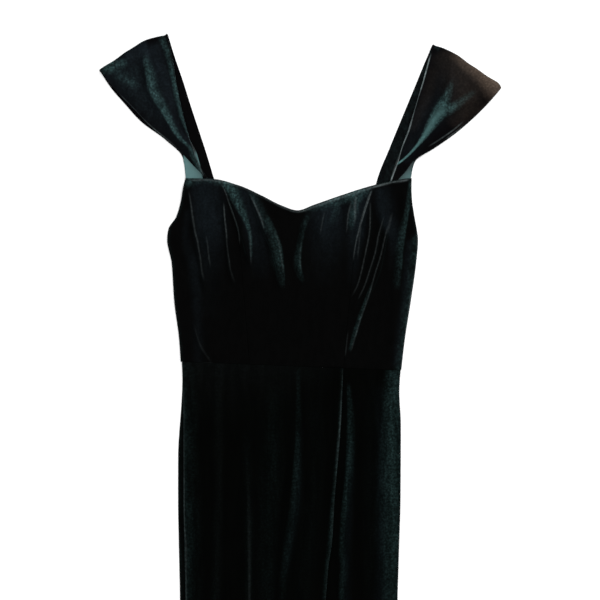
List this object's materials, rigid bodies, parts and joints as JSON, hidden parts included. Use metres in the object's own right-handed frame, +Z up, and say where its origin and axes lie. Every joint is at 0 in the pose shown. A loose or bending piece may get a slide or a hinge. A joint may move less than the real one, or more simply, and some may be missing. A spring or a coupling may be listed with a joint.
{
  "type": "evening gown",
  "caption": "Floor-length column evening gown in dark green stretch velvet, laid flat, with a sweetheart neckline, wide folded straps and a lapped skirt front.",
  "frame": {"origin": "middle of the laid-out gown's outline, on the surface that it lies on", "axes": "+X across the gown, to the right as seen from above, +Y from the hem to the shoulders, +Z up from the surface"},
  "size_m": [0.6455, 1.61, 0.0127],
  "materials": {
    "velvet": "matte",
    "lining": "satin"
  },
  "bodies": {
    "root": {"bodice_front_center": "velvet", "bodice_side_front_left": "velvet", "bodice_side_front_right": "velvet", "bodice_back": "velvet", "skirt_front_left": "velvet", "skirt_front_right": "velvet", "skirt_back": "velvet", "strap_left": "velvet", "strap_right": "velvet", "strap_facing_left": "lining", "strap_facing_right": "lining"}
  },
  "joints": []
}
